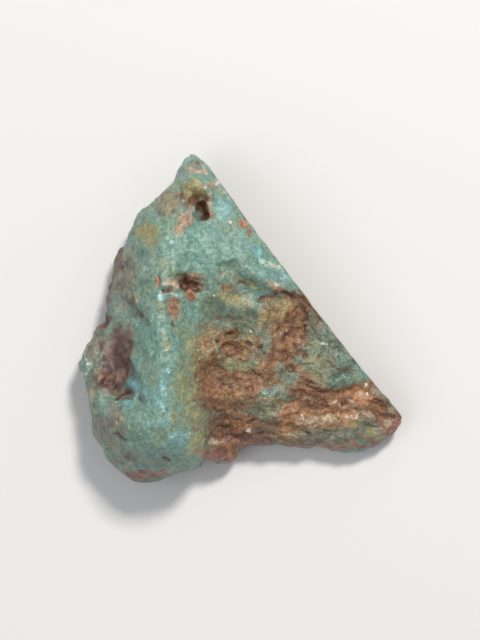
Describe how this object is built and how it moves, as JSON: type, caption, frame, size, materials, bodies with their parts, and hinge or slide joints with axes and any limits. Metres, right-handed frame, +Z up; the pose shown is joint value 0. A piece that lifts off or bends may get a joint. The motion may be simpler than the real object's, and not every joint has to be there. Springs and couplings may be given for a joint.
{
  "type": "turquoise nugget",
  "caption": "Rough three-cornered turquoise stone in brown matrix, with a thick rounded lobe, a thin tip and a flat split side, lying on its flattest face.",
  "frame": {"origin": "middle of the stone's box, on the surface it rests on", "axes": "+Z up, +Y towards the peak of the triangle, +X towards the thin tip"},
  "size_m": [0.0424, 0.0434, 0.0175],
  "materials": {
    "turquoise_stone": "waxy green-blue turquoise with olive and rust stains, brown granular matrix on the plateau and lower rim, a few pale specks and glints"
  },
  "bodies": {
    "root": {"nugget": "turquoise_stone"}
  },
  "joints": []
}
